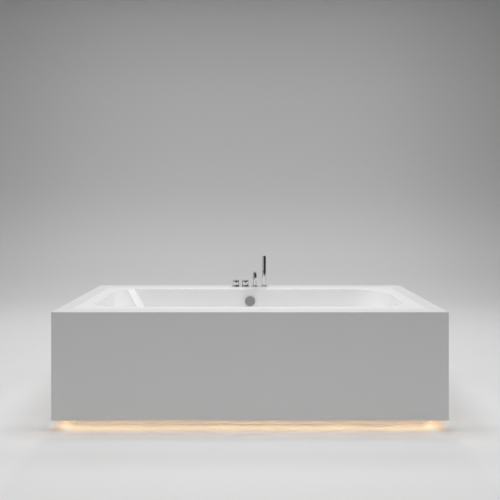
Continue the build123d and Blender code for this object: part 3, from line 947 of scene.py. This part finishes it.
def bracket_screws():
    head = [
        (0.0036, -0.0002), (0.0036, 0.0004), (0.0034, 0.0012), (0.0028, 0.0018), (0.0019, 0.0021),
    ]
    socket = [(0.0016, 0.0019), (0.0015, 0.0009)]
    first = turned("screw", head + socket, sides=20)
    spots = []
    for side in (-1, 1):
        for shift in (-screw_shift, screw_shift):
            spots.append((side * (panel_inner_x - screw_inset), shift, soffit_top))
            for along in bracket_places:
                spots.append((along + shift, side * (panel_inner_y - screw_inset), soffit_top))
    return join("bracket_screws", *copies_of(first, spots))


screws = bracket_screws()
screws.data.materials.append(zinc)
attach(screws, "tub")


# The stage: a floor that runs up into a backdrop

floor_front = -6.4
floor_rear = 2.4
backdrop_distance = 5.4
backdrop_height = 6.0
stage_half_width = 9.0
curve_steps = 24


def backdrop():
    """One sheet: flat under the tub, curving up behind it."""
    radius = backdrop_distance - floor_rear
    profile = [(floor_front, 0), (floor_rear, 0)]
    for step in range(1, curve_steps + 1):
        turn = math.pi / 2 * step / curve_steps
        profile.append((floor_rear + radius * math.sin(turn), radius * (1 - math.cos(turn))))
    profile.append((backdrop_distance, backdrop_height))
    verts = [(x, y, z) for y, z in profile for x in (-stage_half_width, stage_half_width)]
    faces = [(2 * i, 2 * i + 1, 2 * i + 3, 2 * i + 2) for i in range(len(profile) - 1)]
    mesh = bpy.data.meshes.new("backdrop")
    mesh.from_pydata(verts, [], faces)
    mesh.shade_smooth()
    sheet = bpy.data.objects.new("backdrop", mesh)
    bpy.context.collection.objects.link(sheet)
    return sheet


# Painted light and shade up the wall, by height: darkest about 1.4 m up, lighter towards the top
wall_painted_light = [
    (0.0, 0.769), (0.25, 0.723), (0.6, 0.716), (1.4, 0.654),
    (2.6, 0.683), (3.3, 0.712), (3.75, 0.779), (4.2, 0.865),
]

# Painted light along the floor, from front to rear: darker in front, lighter behind the tub
floor_painted_light = [
    (-0.6, 0.945), (0.6, 0.965), (1.2, 1.0), (1.95, 1.045), (2.6, 1.06), (3.1, 1.0), (3.4, 1.0),
]

# Painted light across the wall, from left to right, strongest on the left
wall_side_painted_light = [
    (-3.7, 1.128), (-3.27, 1.109), (-1.93, 1.083), (0.0, 1.03),
    (1.93, 1.065), (2.7, 1.045), (3.27, 1.04), (3.7, 1.034),
]

# Painted light beside the tub, from front to rear, that lifts the tub's shadow there
beside_painted_light = [
    (-0.8, 1.03), (-0.6, 1.07), (-0.42, 1.18), (-0.25, 1.13),
    (0.0, 1.11), (0.25, 1.09), (0.6, 1.03), (0.9, 1.0),
]

# Painted shade with a blue tint in front of the plinth, by the distance from it, that dims and cools
# the warm glow there
front_painted_shade = [
    (-0.01, (1.0, 1.0, 1.0)), (0.0, (0.96, 1.04, 1.2)), (0.024, (0.94, 1.1, 1.3)),
    (0.051, (0.76, 0.93, 1.1)), (0.079, (0.63, 0.77, 0.95)), (0.105, (0.665, 0.82, 1.07)),
    (0.131, (0.8, 0.92, 1.09)), (0.157, (0.97, 1.03, 1.06)), (0.182, (0.945, 1.0, 1.02)),
    (0.207, (0.93, 0.955, 0.98)), (0.32, (1.0, 1.0, 1.0)),
]

# Painted shade under the casing's ends, by the distance from the middle, that darkens the warm glow
# spilling there
end_painted_shade = [
    (0.9, (1.0, 1.0, 1.0)), (0.925, (0.92, 1.05, 1.12)), (0.95, (0.82, 0.86, 0.88)),
    (0.975, (0.69, 0.67, 0.68)), (1.0, (0.58, 0.61, 0.67)), (1.03, (0.64, 0.75, 0.86)),
    (1.07, (0.88, 0.95, 1.0)), (1.12, (1.0, 1.0, 1.0)),
]

# Where each of this painted light and shade fades in or out
behind_zone = (0.5, 3.0)
beside_zone = (1.35, 1.6)
plinth_front = -0.4
past_ends_zone = (0.97, 1.05)
casing_front_zone = (-0.52, -0.47)
casing_rear_zone = (0.55, 0.47)


def tone_ramp(tree, distance, stops, label):
    """Tones at distances, smoothly joined.

    A ramp holds no tone above 1, so brighter ones are scaled down and back."""
    low, high = stops[0][0], stops[-1][0]
    colours = [tone if isinstance(tone, tuple) else grey(tone) for _, tone in stops]
    peak = max(1.0, *(value for colour in colours for value in colour))
    along = add(tree, "ShaderNodeMapRange", "from 0 to 1", From_Min=low, From_Max=high)
    tree.links.new(distance, along.inputs["Value"])
    ramp = add(tree, "ShaderNodeValToRGB", label)
    ramp.color_ramp.interpolation = "CARDINAL"
    elements = ramp.color_ramp.elements
    while len(elements) < len(stops):
        elements.new(0.5)
    for element, (place, _), colour in zip(elements, stops, colours):
        element.position = (place - low) / (high - low)
        element.color = (*(value / peak for value in colour), 1)
    tree.links.new(along.outputs["Result"], ramp.inputs["Fac"])
    scaled = add(tree, "ShaderNodeVectorMath", "back to full tone", operation="SCALE")
    tree.links.new(ramp.outputs["Color"], scaled.inputs[0])
    scaled.inputs["Scale"].default_value = peak
    return scaled.outputs["Vector"]


def stage_finish():
    """A matt sheet with painted light and shade: tones that change slowly over it, painted light
    beside the tub, and painted shade in front of the plinth and under the casing's ends.
    """
    material, tree, shader = new_surface(
        "stage", "matt sheet", Roughness=0.9, Specular_IOR_Level=0.1
    )
    x, y, z = split_place(tree)
    from_middle = maths(tree, "ABSOLUTE", "from the middle", x)

    # Painted light and shade up the wall, along the floor and across the wall.
    wall = tone_ramp(tree, z, wall_painted_light, "up the wall")
    floor = tone_ramp(tree, y, floor_painted_light, "along the floor")
    sheet_tone = multiplied(tree, wall, floor, "wall and floor")
    across = tone_ramp(tree, x, wall_side_painted_light, "across the wall")
    behind = fade(tree, y, *behind_zone, "only behind the tub")
    side_tone = tones(tree, behind, grey(1.0), across, "side tone")
    sheet_tone = multiplied(tree, sheet_tone, side_tone, "with the side tone")

    # Painted light that lifts the shadow beside the tub.
    beside = tone_ramp(tree, y, beside_painted_light, "beside the tub")
    far = fade(tree, from_middle, *beside_zone, "far from the tub")
    beside = tones(tree, far, beside, grey(1.0), "near the tub")
    # Painted shade and a blue tint that dim and cool the glow in front of the plinth.
    ahead = maths(tree, "SUBTRACT", "in front of the plinth", plinth_front, y)
    front = tone_ramp(tree, ahead, front_painted_shade, "just in front of the plinth")
    past_ends = fade(tree, from_middle, *past_ends_zone, "past the tub's ends")
    around = tones(tree, past_ends, front, beside, "front or beside")

    # Painted shade that darkens the glow under the casing's ends.
    under_front = fade(tree, y, *casing_front_zone, "behind the casing's front")
    under_rear = fade(tree, y, *casing_rear_zone, "in front of the casing's rear")
    under_end = maths(tree, "MULTIPLY", "beside the plinth", under_front, under_rear)
    ends = tone_ramp(tree, from_middle, end_painted_shade, "under the casing's ends")
    ends = tones(tree, under_end, grey(1.0), ends, "ends only")
    around = multiplied(tree, around, ends, "with the ends")
    colour = multiplied(tree, sheet_tone, around, "with the tones round the tub")
    tree.links.new(colour, shader.inputs["Base Color"])
    return material


sheet = backdrop()
sheet.data.materials.append(stage_finish())


# Soft lights, hidden from reflections: name, place, aim, size and power in watts

soft_lights = [
    ("overhead light", (0, -0.2, 4.6), (0, -0.2, 0), (7.0, 1.2), 214),
    ("rear overhead light", (0, 2.2, 4.6), (0, 2.2, 0), (7.0, 1.2), 68.6),
    ("front light", (0, -5.0, 2.2), (0, 0, 0.3), (6.0, 1.5), 64.5),
]


def soft_light(name, place, aim, size, power):
    lamp = bpy.data.lights.new(name, "AREA")
    lamp.shape = "RECTANGLE"
    lamp.size, lamp.size_y = size
    lamp.energy = power
    light = bpy.data.objects.new(name, lamp)
    bpy.context.collection.objects.link(light)
    light.location = place
    light.rotation_euler = (Vector(aim) - Vector(place)).to_track_quat("-Z", "Y").to_euler()
    light.visible_glossy = False
    light.visible_camera = False


for settings in soft_lights:
    soft_light(*settings)


# The world: a dark studio with a pale left wall in reflections, and a pale room for the camera

left_wall_tone = 0.4
studio_tone = 0.004
room_tone = 0.5
wall_fade = (0.1, 0.6)


def make_world():
    """It gives no light of its own, and is seen by camera rays and glossy rays only."""
    world = bpy.data.worlds.new("studio")
    bpy.context.scene.world = world
    world.use_nodes = True
    tree = world.node_tree
    tree.nodes.clear()
    out = add(tree, "ShaderNodeOutputWorld", "world")
    path = add(tree, "ShaderNodeLightPath", "ray kind")

    direction = add(tree, "ShaderNodeTexCoord", "direction")
    split = add(tree, "ShaderNodeSeparateXYZ", "left or right")
    tree.links.new(direction.outputs["Generated"], split.inputs[0])
    rightness = maths(tree, "MULTIPLY_ADD", "from 0 to 1", split.outputs["X"], 0.5, 0.5)
    ramp = add(tree, "ShaderNodeValToRGB", "a pale wall on the left")
    ends = zip(ramp.color_ramp.elements, wall_fade, (left_wall_tone, studio_tone))
    for element, place, tone in ends:
        element.position = place
        element.color = (*grey(tone), 1)
    tree.links.new(rightness, ramp.inputs["Fac"])

    fill = add(tree, "ShaderNodeBackground", "no fill light", Strength=0.0)
    studio = add(tree, "ShaderNodeBackground", "dark studio in reflections", Strength=1.0)
    tree.links.new(ramp.outputs["Color"], studio.inputs["Color"])
    room = add(
        tree, "ShaderNodeBackground", "pale room for the camera",
        Strength=1.0, Color=(*grey(room_tone), 1),
    )
    glossy = add(tree, "ShaderNodeMixShader", "glossy rays see the studio")
    tree.links.new(path.outputs["Is Glossy Ray"], glossy.inputs["Fac"])
    tree.links.new(fill.outputs[0], glossy.inputs[1])
    tree.links.new(studio.outputs[0], glossy.inputs[2])
    seen = add(tree, "ShaderNodeMixShader", "the camera sees a pale room")
    tree.links.new(path.outputs["Is Camera Ray"], seen.inputs["Fac"])
    tree.links.new(glossy.outputs[0], seen.inputs[1])
    tree.links.new(room.outputs[0], seen.inputs[2])
    tree.links.new(seen.outputs[0], out.inputs["Surface"])


make_world()
